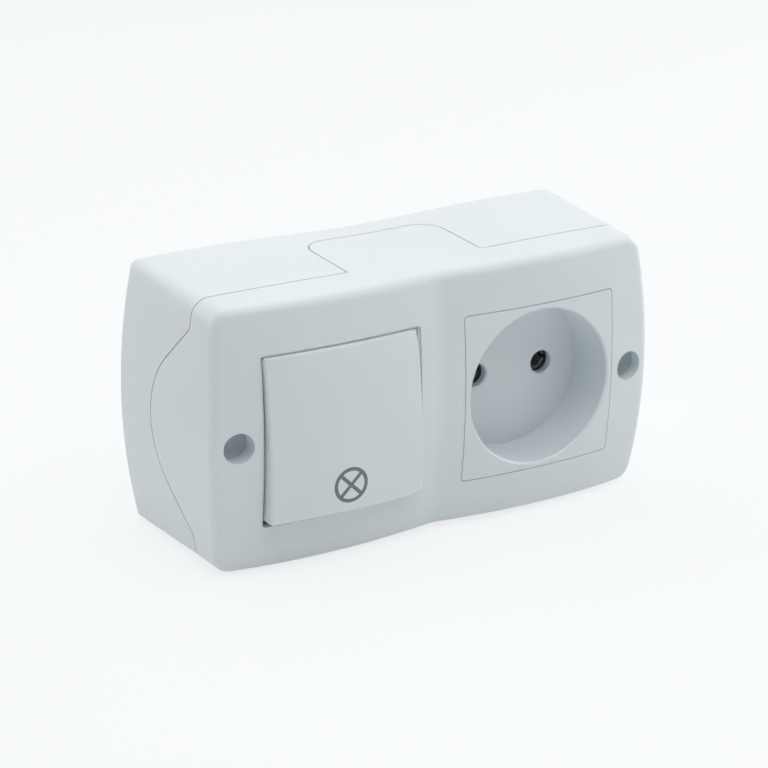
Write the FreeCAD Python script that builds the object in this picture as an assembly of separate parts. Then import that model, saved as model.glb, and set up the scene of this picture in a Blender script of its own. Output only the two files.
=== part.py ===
# Surface-mounted switch and socket combination: a one-way rocker switch beside a two-pin socket.
#
# Millimetres. X runs to the right, Y into the wall and Z up. The wall is the plane y = 0 and the
# origin is the middle of the box's back, so a depth of 30 mm in front of the wall is y = -30.

import FreeCAD
import Part
import math
import os

# Outline of the housing where it meets the wall, and how deep the housing is
rear_half_width = 62.5
rear_side_radius = 145.0
rear_half_height = 33.1
rear_waist_depth = 1.0
overall_depth = 45.8

# Outline of the housing on a drawing plane just in front of it
drawing_depth = overall_depth + 4.2
front_half_width = rear_half_width - 2.77
front_side_radius = 261.0
front_half_height = 32.06
front_waist_depth = 0.1

# What both outlines share
crown_x = 43.0
crown_share = 0.64
outline_corner_radius = 4.5

# Domed front, one dome to each half
half_pitch = 27.0
dome_radius = 170.0
crease_radius = 10.0
front_edge_radius = 2.5

# Walls
wall = 2.2
back_wall = 2.4
dome_sweep = 20.0
behind_wall = 10.0

# Seam between box and cover
seam_depth = overall_depth - 15.3
seam_gap = 0.3
tab_half_width = 18.4
tab_depth = 6.8
tab_corner_radius = 7.0
tab_root_radius = 0.6
wing_depth = 14.2
wing_radius = 22.5
wing_root_radius = 1.5
lip_length = 2.0
lip_thickness = 0.95
lip_clearance = 0.15

# Square openings in the cover
opening_size = 42.1
opening_corner_radius = 1.0
collar_wall = 1.6
collar_depth = overall_depth - 8.8

# Screws that hold the cover
cover_screw_x = rear_half_width - 8.84
cover_screw_well_radius = 3.7
cover_screw_tube_wall = 1.6
cover_screw_seat_depth = overall_depth - 21.8
cover_screw_seat_wall = 2.0
cover_screw_head_radius = 3.3
cover_screw_head_height = 2.4
cover_screw_shank_radius = 1.5
cover_screw_length = 15.0
cover_screw_hole_radius = 1.9
cover_post_radius = 4.0
cover_post_gap = 0.2
cover_post_rib = 1.4
cover_post_rib_depth = 11.0
cover_post_rib_reach = 8.0

# Holes for the screws that hold the box to the wall
wall_hole_pitch_x = 92.0
wall_hole_pitch_z = 44.0
wall_hole_radius = 2.25
wall_hole_rim_radius = 4.6
wall_hole_rim_height = 0.8

# Thin round place in the back wall that is broken out for the cable
knockout_radius = 10.0
knockout_groove_width = 1.0
knockout_groove_depth = 1.4

# Posts, ears and screws that carry the two inserts
insert_screw_z = 25.0
insert_post_radius = 3.2
insert_post_depth = 13.0
ear_thickness = 2.5
ear_half_width = 4.5
ear_end_radius = 3.6
ear_hole_radius = 1.8
insert_screw_head_radius = 2.9
insert_screw_head_height = 1.8
insert_screw_shank_radius = 1.25
insert_screw_length = 8.0
head_top_share = 0.8
slot_width = 0.8
slot_depth = 0.9
pilot_clearance = 0.05
pilot_extra = 1.6

# Base block of the switch
base_half_width = 17.0
base_half_height = 16.5
base_front_depth = overall_depth - 16.8
base_back_depth = 8.0
base_edge_radius = 1.0
chamber_half_width = 8.0
chamber_half_height = 13.0
chamber_floor_depth = 13.5
cheek_thickness = 1.8
cheek_half_height = 4.2

# Rocker
rocker_pivot_depth = overall_depth - 8.8
rocker_angle = 4.5
rocker_half_width = 20.4
rocker_half_height = 20.2
rocker_proud = 0.7
rocker_back_depth = rocker_pivot_depth + 2.5
rocker_wall = 1.6
rocker_corner_radius = 0.8
rocker_edge_radius = 0.8
rocker_rib_thickness = 1.2
rocker_rib_x = 7.0
hook_half_width = 3.0
hook_thickness = 1.2
hook_nose = 0.6
assembly_gap = 0.1

# Cradle under the rocker
cradle_half_width = 12.5
cradle_half_height = 12.5
cradle_front_depth = rocker_pivot_depth + 5.9
cradle_plate = 2.2
cradle_arm_thickness = 1.6
cradle_arm_half_height = 3.6
cradle_barrel_wall = 1.3
cradle_barrel_back_depth = rocker_pivot_depth - 8.5
trunnion_radius = 1.5
trunnion_clearance = 0.05

# Sprung plunger that tips the contact lever
plunger_radius = 2.0
plunger_clearance = 0.05
plunger_front_depth = rocker_pivot_depth - 5.5
plunger_tip_depth = rocker_pivot_depth - 12.9
plunger_travel = 0.8
spring_wire_half = 0.2
spring_coil_radius = 1.5
spring_turns = 5
coil_steps = 12
spring_free_gap = 0.1

# Contact lever that rocks on the common terminal
lever_angle = 8.0
lever_gap = 0.12
lever_thickness = 1.0
lever_half_width = 3.0
lever_half_length = 10.5
lever_flange_thickness = 0.6
lever_flange_depth = 2.65
lever_flange_half_length = 7.0
lever_pivot_radius = 0.6
lever_pivot_clearance = 0.05
ridge_half_width = 2.0
contact_z = 9.3
contact_radius = 1.5
contact_height = 0.95
contact_gap = 0.1
stop_half_width = 2.0

# Terminals, their screws and the wire holes
strip_thickness = 0.8
strip_half_width = 2.5
terminal_x = 13.2
terminal_half_width = 2.8
terminal_half_height = 3.2
terminal_front_depth = 22.0
terminal_back_depth = 12.5
wire_hole_radius = 1.6
terminal_screw_depth = 17.0
terminal_screw_radius = 1.5
terminal_screw_stand = 0.6
pocket_clearance = 0.1

# Socket well and the insert around it
insert_size = 41.8
insert_corner_radius = 0.85
insert_skirt_depth = overall_depth - 5.3
well_radius = 19.53
well_floor_depth = overall_depth - 14.8
well_rim = 0.4
well_wall = 1.27
well_floor = 2.2
pin_pitch = 19.0
pin_hole_radius = 2.6
pin_hole_lead = 0.35
leg_half_width = 4.0
leg_thickness = 1.4
leg_length = 9.0
leg_nose = 0.9
leg_gap = 0.25

# Base block of the socket and its contacts
socket_base_half_width = 17.5
contact_bore_radius = 4.2
contact_bore_floor_depth = 10.5
sleeve_inner_radius = 2.45
sleeve_wall = 0.6
sleeve_front_depth = well_floor_depth - 3.5
sleeve_back_depth = 13.0
sleeve_slot = 1.0
sleeve_slot_length = 9.0
grip_ring_wall = 0.5
grip_ring_length = 3.0
grip_ring_depth = sleeve_front_depth - 3.5
grip_ring_gap = 1.4
socket_terminal_z = 10.0

# Middles of the two halves
switch_x = -half_pitch
socket_x = half_pitch

# Depths that follow from the sizes above
rocker_pivot = -rocker_pivot_depth
lever_front = -plunger_tip_depth + lever_gap
lever_pivot = lever_front + lever_thickness
ear_front = -insert_post_depth - ear_thickness
base_front = -base_front_depth
base_back = -base_back_depth
chamber_floor = -chamber_floor_depth
lever_tilt = math.radians(lever_angle)


def vector(x, y, z):
    return FreeCAD.Vector(x, y, z)


def block(x_from, x_to, y_from, y_to, z_from, z_to):
    """Box between two corners."""
    size = (x_to - x_from, y_to - y_from, z_to - z_from)
    return Part.makeBox(*size, vector(x_from, y_from, z_from))


def rod(radius, x, z, y_from, y_to):
    """Cylinder that runs front to back."""
    return Part.makeCylinder(radius, y_to - y_from, vector(x, y_from, z), vector(0, 1, 0))


def cross_rod(radius, y, z, x_from, x_to):
    """Cylinder that runs left to right."""
    return Part.makeCylinder(radius, x_to - x_from, vector(x_from, y, z), vector(1, 0, 0))


def fused(first, *others):
    """One solid from touching solids, with the seams between flush faces taken out."""
    return first.fuse(list(others)).removeSplitter()


def rounded_wire(corners, place):
    """Closed wire through (u, v, radius) corners, each rounded, put in space by place(u, v)."""
    edges = []
    last_end = None
    first_start = None
    for index, (u, v, radius) in enumerate(corners):
        before = corners[index - 1]
        after = corners[(index + 1) % len(corners)]
        corner = vector(u, v, 0)
        to_before = (vector(before[0], before[1], 0) - corner).normalize()
        to_after = (vector(after[0], after[1], 0) - corner).normalize()
        half_turn = to_before.getAngle(to_after) / 2
        start = corner + to_before * (radius / math.tan(half_turn))
        end = corner + to_after * (radius / math.tan(half_turn))
        if last_end is not None:
            edges.append(Part.LineSegment(place(last_end), place(start)).toShape())
        if radius > 0:
            inward = (to_before + to_after).normalize()
            middle = corner + inward * (radius / math.sin(half_turn) - radius)
            edges.append(Part.Arc(place(start), place(middle), place(end)).toShape())
        first_start = first_start or start
        last_end = end
    edges.append(Part.LineSegment(place(last_end), place(first_start)).toShape())
    return Part.Wire(edges)


def in_plan(z):
    """Places drawn (x, y) points on the level plane at height z."""
    return lambda point: vector(point.x, point.y, z)


def facing_front(y):
    """Places drawn (x, z) points on the upright plane at depth y."""
    return lambda point: vector(point.x, y, point.y)


def side_on(x):
    """Places drawn (y, z) points on the upright plane at x."""
    return lambda point: vector(x, point.x, point.y)


def square_bar(x, z, half_width, half_height, radius, y_from, y_to):
    """Rectangular bar with rounded corners that runs front to back."""
    corners = [
        (x + half_width, z + half_height, radius),
        (x - half_width, z + half_height, radius),
        (x - half_width, z - half_height, radius),
        (x + half_width, z - half_height, radius),
    ]
    wire = rounded_wire(corners, facing_front(y_from))
    return Part.Face(wire).extrude(vector(0, y_to - y_from, 0))


# Housing


def circle_crossing(centre_a, radius_a, centre_b, radius_b):
    """Crossing point of two circles that lies furthest to the right."""
    between = centre_b - centre_a
    distance = between.Length
    along = (radius_a**2 - radius_b**2 + distance**2) / (2 * distance)
    across = math.sqrt(radius_a**2 - along**2)
    unit = between.normalize()
    sideways = vector(-unit.y, unit.x, 0)
    crossings = [centre_a + unit * along + sideways * sign * across for sign in (-1, 1)]
    return max(crossings, key=lambda point: point.x)


def outline(y, half_width, side_radius, half_height, waist_depth, inset):
    """Housing outline at depth y, moved inwards by inset: bowed sides and two crowns with a waist."""
    radius_sum = crown_x**2 / (2 * waist_depth) + waist_depth / 2
    crown_radius = crown_share * radius_sum
    waist_radius = radius_sum - crown_radius
    side_centre = vector(half_width - side_radius, 0, 0)
    crown_centre = vector(crown_x, half_height - crown_radius, 0)
    waist_centre = vector(0, half_height - waist_depth + waist_radius, 0)
    corner_centre = circle_crossing(
        side_centre,
        side_radius - outline_corner_radius,
        crown_centre,
        crown_radius - outline_corner_radius,
    )
    corner_radius = outline_corner_radius - inset
    from_side = (corner_centre - side_centre).normalize()
    from_crown = (corner_centre - crown_centre).normalize()
    to_waist = (waist_centre - crown_centre).normalize()
    side_end = corner_centre + from_side * corner_radius
    corner_middle = corner_centre + (from_side + from_crown).normalize() * corner_radius
    crown_start = corner_centre + from_crown * corner_radius
    crown_middle = crown_centre + (from_crown + to_waist).normalize() * (crown_radius - inset)
    crown_end = crown_centre + to_waist * (crown_radius - inset)
    waist_middle = vector(0, half_height - waist_depth - inset, 0)
    side_middle = vector(half_width - inset, 0, 0)

    def arc(points, flip_x, flip_z):
        return Part.Arc(*[vector(p.x * flip_x, y, p.y * flip_z) for p in points]).toShape()

    def mirrored(point, flip_x, flip_z):
        return vector(point.x * flip_x, point.y * flip_z, 0)

    corner = (side_end, corner_middle, crown_start)
    crown = (crown_start, crown_middle, crown_end)
    edges = [
        arc((mirrored(side_end, 1, -1), side_middle, side_end), 1, 1),
        arc(corner, 1, 1),
        arc(crown, 1, 1),
        arc((crown_end, waist_middle, mirrored(crown_end, -1, 1)), 1, 1),
        arc(crown[::-1], -1, 1),
        arc(corner[::-1], -1, 1),
        arc((side_end, side_middle, mirrored(side_end, 1, -1)), -1, 1),
        arc(corner, -1, -1),
        arc(crown, -1, -1),
        arc((mirrored(crown_end, -1, 1), waist_middle, crown_end), 1, -1),
        arc(crown[::-1], 1, -1),
        arc(corner[::-1], 1, -1),
    ]
    return Part.Wire(edges)


def domes(inset):
    """Everything behind the two domes and the soft crease between them, moved inwards by inset."""
    radius = dome_radius - inset
    axis_y = dome_radius - overall_depth
    reach = rear_half_width + behind_wall
    crease_y = axis_y - math.sqrt((dome_radius + crease_radius) ** 2 - half_pitch**2)
    crease_centre = vector(0, crease_y, 0)
    crease_middle = vector(0, crease_y + crease_radius + inset, 0)

    def on_dome(x):
        return vector(x, axis_y - math.sqrt(radius**2 - (abs(x) - half_pitch) ** 2), 0)

    def crease_end(side):
        dome_centre = vector(side * half_pitch, axis_y, 0)
        return dome_centre + (crease_centre - dome_centre).normalize() * radius

    edges = []
    left, right = crease_end(-1), crease_end(1)
    apex = overall_depth - inset
    edges.append(Part.Arc(on_dome(-reach), vector(-half_pitch, -apex, 0), left).toShape())
    edges.append(Part.Arc(left, crease_middle, right).toShape())
    edges.append(Part.Arc(right, vector(half_pitch, -apex, 0), on_dome(reach)).toShape())
    back_right = vector(reach, behind_wall, 0)
    back_left = vector(-reach, behind_wall, 0)
    edges.append(Part.LineSegment(on_dome(reach), back_right).toShape())
    edges.append(Part.LineSegment(back_right, back_left).toShape())
    edges.append(Part.LineSegment(back_left, on_dome(-reach)).toShape())
    profile = Part.Face(Part.Wire(edges))
    axis_point = vector(0, axis_y, 0)
    along_x = vector(1, 0, 0)
    profile.rotate(axis_point, along_x, -dome_sweep)
    return profile.revolve(axis_point, along_x, 2 * dome_sweep)


def body(inset):
    """The housing's whole outer form, moved inwards by inset on every side but the back."""
    rear = outline(
        0, rear_half_width, rear_side_radius, rear_half_height, rear_waist_depth, inset
    )
    front = outline(
        -drawing_depth,
        front_half_width,
        front_side_radius,
        front_half_height,
        front_waist_depth,
        inset,
    )
    return Part.makeLoft([rear, front], True, True).common(domes(inset))


def opening_bar(x, y_from, y_to):
    """Bar that fills a cover opening from one depth to another."""
    half = opening_size / 2
    return square_bar(x, 0, half, half, opening_corner_radius, y_from, y_to)


def on_front_rim(edge):
    """True for the edges where the domes meet the sides, and not for those along the crease."""
    middle = edge.valueAt((edge.FirstParameter + edge.LastParameter) / 2)
    along_crease = abs(middle.x) < crease_radius and abs(middle.z) < crease_radius
    return middle.y < -seam_depth and not along_crease


def housing():
    """Outer form of box and cover together, with rounded front edges."""
    whole = body(0)
    return whole.makeFillet(front_edge_radius, [e for e in whole.Edges if on_front_rim(e)])


def cover_region(retreat):
    """Space that belongs to the cover, its border moved forward by retreat.

    The seam runs straight around the housing, but a tab reaches back over the middle of the top
    and bottom, and a rounded wing reaches back on each side.
    """
    far = 2 * rear_half_width
    seam = -seam_depth - retreat
    tab_x = tab_half_width - retreat
    tab_y = -tab_depth - retreat
    tab = [
        (far, seam, 0),
        (tab_x, seam, tab_root_radius + retreat),
        (tab_x, tab_y, tab_corner_radius - retreat),
        (-tab_x, tab_y, tab_corner_radius - retreat),
        (-tab_x, seam, tab_root_radius + retreat),
        (-far, seam, 0),
        (-far, -far, 0),
        (far, -far, 0),
    ]
    apex = -wing_depth - wing_radius + (wing_radius - retreat) * math.sqrt(2)
    flank_z = apex - seam
    wing = [
        (seam, far, 0),
        (seam, flank_z, wing_root_radius + retreat),
        (apex, 0, wing_radius - retreat),
        (seam, -flank_z, wing_root_radius + retreat),
        (seam, -far, 0),
        (-far, -far, 0),
        (-far, far, 0),
    ]
    tab_prism = Part.Face(rounded_wire(tab, in_plan(-far))).extrude(vector(0, 0, 2 * far))
    wing_prism = Part.Face(rounded_wire(wing, side_on(-far))).extrude(vector(2 * far, 0, 0))
    return tab_prism.fuse(wing_prism)


def cavity():
    """Hollow inside the housing, in front of the back wall."""
    back = block(-rear_half_width, rear_half_width, -back_wall, 0, -rear_half_height, rear_half_height)
    return body(wall).cut(back)


def front_cover():
    """Domed cover with its rebate, opening collars and screw tubes."""
    lip_outer = wall - lip_thickness - lip_clearance
    border = cover_region(seam_gap)
    behind_rebate = cover_region(lip_length + lip_clearance)
    rebate = body(lip_outer).cut(behind_rebate)
    cover = housing().common(border).cut(rebate)
    cover = cover.cut(cavity())
    inner_form = body(wall / 2)
    collar_half = opening_size / 2 + collar_wall
    extras = []
    holes = []
    for side in (-1, 1):
        screw_x = side * cover_screw_x
        tube_radius = cover_screw_well_radius + cover_screw_tube_wall
        tube_back = -cover_screw_seat_depth + cover_screw_seat_wall
        collar = square_bar(
            side * half_pitch,
            0,
            collar_half,
            collar_half,
            opening_corner_radius + collar_wall,
            -drawing_depth,
            -collar_depth,
        )
        extras.append(collar.common(inner_form))
        extras.append(rod(tube_radius, screw_x, 0, -drawing_depth, tube_back).common(inner_form))
        holes.append(opening_bar(side * half_pitch, -drawing_depth, 0))
        holes.append(rod(cover_screw_well_radius, screw_x, 0, -drawing_depth, -cover_screw_seat_depth))
        holes.append(rod(cover_screw_hole_radius, screw_x, 0, -drawing_depth, tube_back))
    return fused(cover, *extras).cut(holes)


def back_box():
    """Box on the wall with its lip, posts, wall-screw holes and cable knock-out."""
    shell = housing().cut(cavity()).cut(cover_region(0))
    lip_zone = cover_region(-lip_clearance).cut(cover_region(lip_length))
    lip = body(wall - lip_thickness).cut(body(wall)).common(lip_zone)
    extras = [lip]
    holes = []
    back = -back_wall
    cover_post_front = -cover_screw_seat_depth + cover_screw_seat_wall + cover_post_gap
    pilot_radius = cover_screw_shank_radius + pilot_clearance
    pilot_end = -cover_screw_seat_depth + cover_screw_length + pilot_extra
    inner_form = body(wall / 2)
    for side in (-1, 1):
        x = side * cover_screw_x
        extras.append(rod(cover_post_radius, x, 0, cover_post_front, back))
        rib_half = cover_post_rib / 2
        rib_x = sorted((x, side * rear_half_width))
        rib = block(rib_x[0], rib_x[1], -cover_post_rib_depth, back, -rib_half, rib_half)
        extras.append(rib.common(inner_form))
        upright = block(
            x - rib_half,
            x + rib_half,
            -cover_post_rib_depth,
            back,
            -cover_post_rib_reach,
            cover_post_rib_reach,
        )
        extras.append(upright)
        holes.append(rod(pilot_radius, x, 0, cover_post_front, pilot_end))
        for up in (-1, 1):
            insert_pilot = insert_screw_shank_radius + pilot_clearance
            post_x = side * half_pitch
            post_z = up * insert_screw_z
            pilot_to = ear_front + insert_screw_length + pilot_extra
            extras.append(rod(insert_post_radius, post_x, post_z, -insert_post_depth, back))
            holes.append(rod(insert_pilot, post_x, post_z, -insert_post_depth, pilot_to))
            hole_x = side * wall_hole_pitch_x / 2
            hole_z = up * wall_hole_pitch_z / 2
            rim_front = back - wall_hole_rim_height
            extras.append(rod(wall_hole_rim_radius, hole_x, hole_z, rim_front, back))
            holes.append(rod(wall_hole_radius, hole_x, hole_z, rim_front, 0))
    groove_front = back
    groove_back = back + knockout_groove_depth
    groove = rod(knockout_radius, 0, 0, groove_front, groove_back)
    island = rod(knockout_radius - knockout_groove_width, 0, 0, groove_front, groove_back)
    holes.append(groove.cut(island))
    return fused(shell, *extras).cut(holes)


def turned(points, x, z):
    """Solid turned from (radius, y) points about a line that runs front to back."""
    wire = Part.makePolygon([vector(radius, y, 0) for radius, y in points + points[:1]])
    solid = Part.Face(wire).revolve(vector(0, 0, 0), vector(0, 1, 0), 360)
    solid.translate(vector(x, 0, z))
    return solid


def slotted_screw(head_radius, head_height, shank_radius, length):
    """Screw at the origin: its head's underside at y = 0, its shank running back along +Y."""
    screw = turned(
        [
            (0, -head_height),
            (head_radius * head_top_share, -head_height),
            (head_radius, 0),
            (shank_radius, 0),
            (shank_radius, length),
            (0, length),
        ],
        0,
        0,
    )
    return screw.cut(slot(head_radius, -head_height))


def slot(reach, y_front):
    """Bar that cuts a screwdriver slot along X into a face at depth y_front."""
    half = slot_width / 2
    return block(-reach, reach, y_front, y_front + slot_depth, -half, half)


def cover_screw(side):
    """Screw with a cross recess, deep in the cover's screw tube."""
    screw = slotted_screw(
        cover_screw_head_radius,
        cover_screw_head_height,
        cover_screw_shank_radius,
        cover_screw_length,
    )
    across = slot(cover_screw_head_radius, -cover_screw_head_height)
    across.rotate(vector(0, 0, 0), vector(0, 1, 0), 90)
    screw = screw.cut(across)
    screw.translate(vector(side * cover_screw_x, -cover_screw_seat_depth, 0))
    return screw


def insert_screws(x):
    """The two screws that hold a base block's ears to the posts."""
    screws = []
    for up in (-1, 1):
        screw = slotted_screw(
            insert_screw_head_radius,
            insert_screw_head_height,
            insert_screw_shank_radius,
            insert_screw_length,
        )
        screw.translate(vector(x, ear_front, up * insert_screw_z))
        screws.append(screw)
    return Part.makeCompound(screws)


# Switch


def eared_block(x, half_width, y_front):
    """Base block with rounded uprights and an ear above and below for its fixing screws."""
    base = square_bar(x, 0, half_width, base_half_height, base_edge_radius, y_front, base_back)
    ear = square_bar(
        x,
        0,
        ear_half_width,
        insert_screw_z + ear_end_radius,
        ear_end_radius,
        ear_front,
        -insert_post_depth,
    )
    holes = [rod(ear_hole_radius, x, up * insert_screw_z, ear_front, base_back) for up in (-1, 1)]
    return fused(base, ear).cut(holes)


def terminal_pocket(x, z, side, block_half_width):
    """Hollow for a terminal block, open to the block's side for its screw and to the back for wire."""
    room = pocket_clearance
    x_from = x + side * (terminal_x - terminal_half_width - room)
    x_to = x + side * (block_half_width + room)
    x_low, x_high = sorted((x_from, x_to))
    pocket = block(
        x_low,
        x_high,
        -terminal_front_depth - room,
        -terminal_back_depth + room,
        z - terminal_half_height - room,
        z + terminal_half_height + room,
    )
    wire = rod(wire_hole_radius + room, x + side * terminal_x, z, -terminal_back_depth, base_back)
    return pocket.fuse(wire)


def terminal_block(x, z, side):
    """Brass block with a hole for the wire from behind and a tapped hole for the screw."""
    middle = x + side * terminal_x
    brass = block(
        middle - terminal_half_width,
        middle + terminal_half_width,
        -terminal_front_depth,
        -terminal_back_depth,
        z - terminal_half_height,
        z + terminal_half_height,
    )
    wire = rod(wire_hole_radius, middle, z, -terminal_screw_depth - wire_hole_radius, -terminal_back_depth)
    x_low, x_high = sorted((middle, middle + side * terminal_half_width))
    tapped = cross_rod(terminal_screw_radius + pilot_clearance, -terminal_screw_depth, z, x_low, x_high)
    return brass.cut([wire, tapped])


def terminal_screw(x, z, side):
    """Slotted screw without a head that enters a terminal block from its side."""
    length = terminal_half_width + terminal_screw_stand - wire_hole_radius / 2
    screw = rod(terminal_screw_radius, 0, 0, 0, length).cut(slot(terminal_screw_radius, 0))
    screw.rotate(vector(0, 0, 0), vector(0, 0, 1), side * 90)
    outer_end = terminal_x + terminal_half_width + terminal_screw_stand
    screw.translate(vector(x + side * outer_end, -terminal_screw_depth, z))
    return screw


def switch_base():
    """Base block of the switch: contact chamber, bearing cheeks, terminal pockets and lever stop."""
    base = eared_block(switch_x, base_half_width, base_front)
    cheeks = []
    bearings = []
    for side in (-1, 1):
        outer = switch_x + side * base_half_width
        inner = outer - side * cheek_thickness
        low, high = sorted((outer, inner))
        cheek = block(low, high, rocker_pivot, base_front, -cheek_half_height, cheek_half_height)
        cheeks.append(cheek)
        cheeks.append(cross_rod(cheek_half_height, rocker_pivot, 0, low, high))
        bearings.append(cross_rod(trunnion_radius + trunnion_clearance, rocker_pivot, 0, low, high))
    chamber = block(
        switch_x - chamber_half_width,
        switch_x + chamber_half_width,
        base_front,
        chamber_floor,
        -chamber_half_height,
        chamber_half_height,
    )
    room = pocket_clearance
    strip_low = chamber_floor - strip_thickness - room
    slots = []
    for side, z in ((-1, 0), (1, contact_z)):
        low, high = sorted((switch_x, switch_x + side * terminal_x))
        half = strip_half_width + room
        slots.append(block(low, high, strip_low, chamber_floor, z - half, z + half))
    pockets = [
        terminal_pocket(switch_x, z, side, base_half_width) for z, side in ((0, -1), (contact_z, 1))
    ]
    stop_front = lever_pivot + lever_end_depth() + contact_gap
    stop = block(
        switch_x - stop_half_width,
        switch_x + stop_half_width,
        stop_front,
        chamber_floor,
        -chamber_half_height,
        -contact_z,
    )
    base = fused(base, *cheeks).cut([chamber] + bearings + slots + pockets)
    return fused(base, stop)


def lever_end_depth():
    """How far behind its pivot the lever's rear edge comes at its lower end, tipped right in."""
    return lever_half_length * math.sin(lever_tilt)


def contact_face_depth():
    """How far behind the lever's pivot the moving contact's rim comes when it is closed."""
    rim_z = contact_z + contact_radius
    return contact_height * math.cos(lever_tilt) + rim_z * math.sin(lever_tilt)


def common_terminal():
    """Brass strip with the round edge that the lever rocks on, running to the left-hand block."""
    ridge = cross_rod(
        lever_pivot_radius,
        lever_pivot,
        0,
        switch_x - ridge_half_width,
        switch_x + ridge_half_width,
    )
    half = strip_thickness / 2
    stem = block(
        switch_x - ridge_half_width,
        switch_x + ridge_half_width,
        lever_pivot,
        chamber_floor,
        -half,
        half,
    )
    foot = block(
        switch_x - terminal_x + terminal_half_width,
        switch_x + strip_half_width,
        chamber_floor - strip_thickness,
        chamber_floor,
        -strip_half_width,
        strip_half_width,
    )
    return fused(ridge, stem, foot, terminal_block(switch_x, 0, -1))


def outgoing_terminal():
    """Brass strip with the fixed contact's step, running to the right-hand block."""
    step_front = lever_pivot + contact_face_depth() + contact_gap + contact_height
    step = block(
        switch_x - contact_radius,
        switch_x + contact_radius,
        step_front,
        chamber_floor,
        contact_z - contact_radius,
        contact_z + contact_radius,
    )
    foot = block(
        switch_x - contact_radius,
        switch_x + terminal_x - terminal_half_width,
        chamber_floor - strip_thickness,
        chamber_floor,
        contact_z - strip_half_width,
        contact_z + strip_half_width,
    )
    return fused(step, foot, terminal_block(switch_x, contact_z, 1))


def fixed_contact():
    """Silver contact on the outgoing terminal's step."""
    front = lever_pivot + contact_face_depth() + contact_gap
    return rod(contact_radius, switch_x, contact_z, front, front + contact_height)


def lever_at_rest(shape):
    """Tips a lever piece from level to where the photographed rocker holds it."""
    shape.rotate(vector(switch_x, lever_pivot, 0), vector(1, 0, 0), lever_angle)
    return shape


def contact_lever():
    """Brass lever folded into a channel, with a groove across its back for the edge it rocks on."""
    rear = lever_front + lever_thickness
    strip = block(
        switch_x - lever_half_width,
        switch_x + lever_half_width,
        lever_front,
        rear,
        -lever_half_length,
        lever_half_length,
    )
    flanges = []
    for side in (-1, 1):
        outer = switch_x + side * lever_half_width
        low, high = sorted((outer, outer - side * lever_flange_thickness))
        half = lever_flange_half_length
        flanges.append(block(low, high, rear, rear + lever_flange_depth, -half, half))
    groove = cross_rod(
        lever_pivot_radius + lever_pivot_clearance,
        lever_pivot,
        0,
        switch_x - lever_half_width + lever_flange_thickness,
        switch_x + lever_half_width - lever_flange_thickness,
    )
    return lever_at_rest(fused(strip, *flanges).cut(groove))


def moving_contact():
    """Silver contact under the lever's upper end."""
    front = lever_front + lever_thickness
    return lever_at_rest(rod(contact_radius, switch_x, contact_z, front, front + contact_height))


def pressed_in(shape):
    """Tips a rocker piece from level to its photographed place, top pressed in."""
    shape.rotate(vector(switch_x, rocker_pivot, 0), vector(1, 0, 0), -rocker_angle)
    return shape


def domed_slab(half_width):
    """Slab across the rocker's dome with both of its front edges rounded."""
    apex_y = -overall_depth - rocker_proud
    centre_y = apex_y + dome_radius
    radius = rocker_edge_radius
    round_x = half_width - radius
    round_y = centre_y - math.sqrt((dome_radius - radius) ** 2 - round_x**2)
    out_x = round_x / (dome_radius - radius)
    out_y = (round_y - centre_y) / (dome_radius - radius)
    bisector = vector(out_x + 1, out_y, 0).normalize()
    rounding = [
        vector(round_x + radius * out_x, round_y + radius * out_y, 0),
        vector(round_x + radius * bisector.x, round_y + radius * bisector.y, 0),
        vector(half_width, round_y, 0),
    ]
    left = [vector(-point.x, point.y, 0) for point in reversed(rounding)]
    edges = [
        Part.Arc(*left).toShape(),
        Part.Arc(left[2], vector(0, apex_y, 0), rounding[0]).toShape(),
        Part.Arc(*rounding).toShape(),
        Part.LineSegment(rounding[2], vector(half_width, 0, 0)).toShape(),
        Part.LineSegment(vector(half_width, 0, 0), vector(-half_width, 0, 0)).toShape(),
        Part.LineSegment(vector(-half_width, 0, 0), left[0]).toShape(),
    ]
    profile = Part.Face(Part.Wire(edges))
    centre = vector(0, centre_y, 0)
    along_x = vector(1, 0, 0)
    profile.rotate(centre, along_x, -dome_sweep)
    return profile.revolve(centre, along_x, 2 * dome_sweep)


def rocker_bar(inset, y_back):
    """Square bar with the rocker's outline, moved inwards by inset."""
    return square_bar(
        switch_x,
        0,
        rocker_half_width - inset,
        rocker_half_height - inset,
        max(rocker_corner_radius - inset, rocker_corner_radius / 4),
        -drawing_depth,
        y_back,
    )


def rocker_form():
    """Rocker's domed square outer form, every front edge rounded."""
    across = domed_slab(rocker_half_width)
    upright = domed_slab(rocker_half_height)
    upright.rotate(vector(0, 0, 0), vector(0, 1, 0), 90)
    form = across.common(upright)
    form.translate(vector(switch_x, 0, 0))
    return form.common(rocker_bar(0, -rocker_back_depth))


def rocker_inside(inset, y_back):
    """Rocker's form moved inwards by inset, with plain edges."""
    radius = dome_radius - inset
    centre_y = dome_radius - overall_depth - rocker_proud
    return rocker_bar(inset, y_back).common(Part.makeSphere(radius, vector(switch_x, centre_y, 0)))


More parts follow.
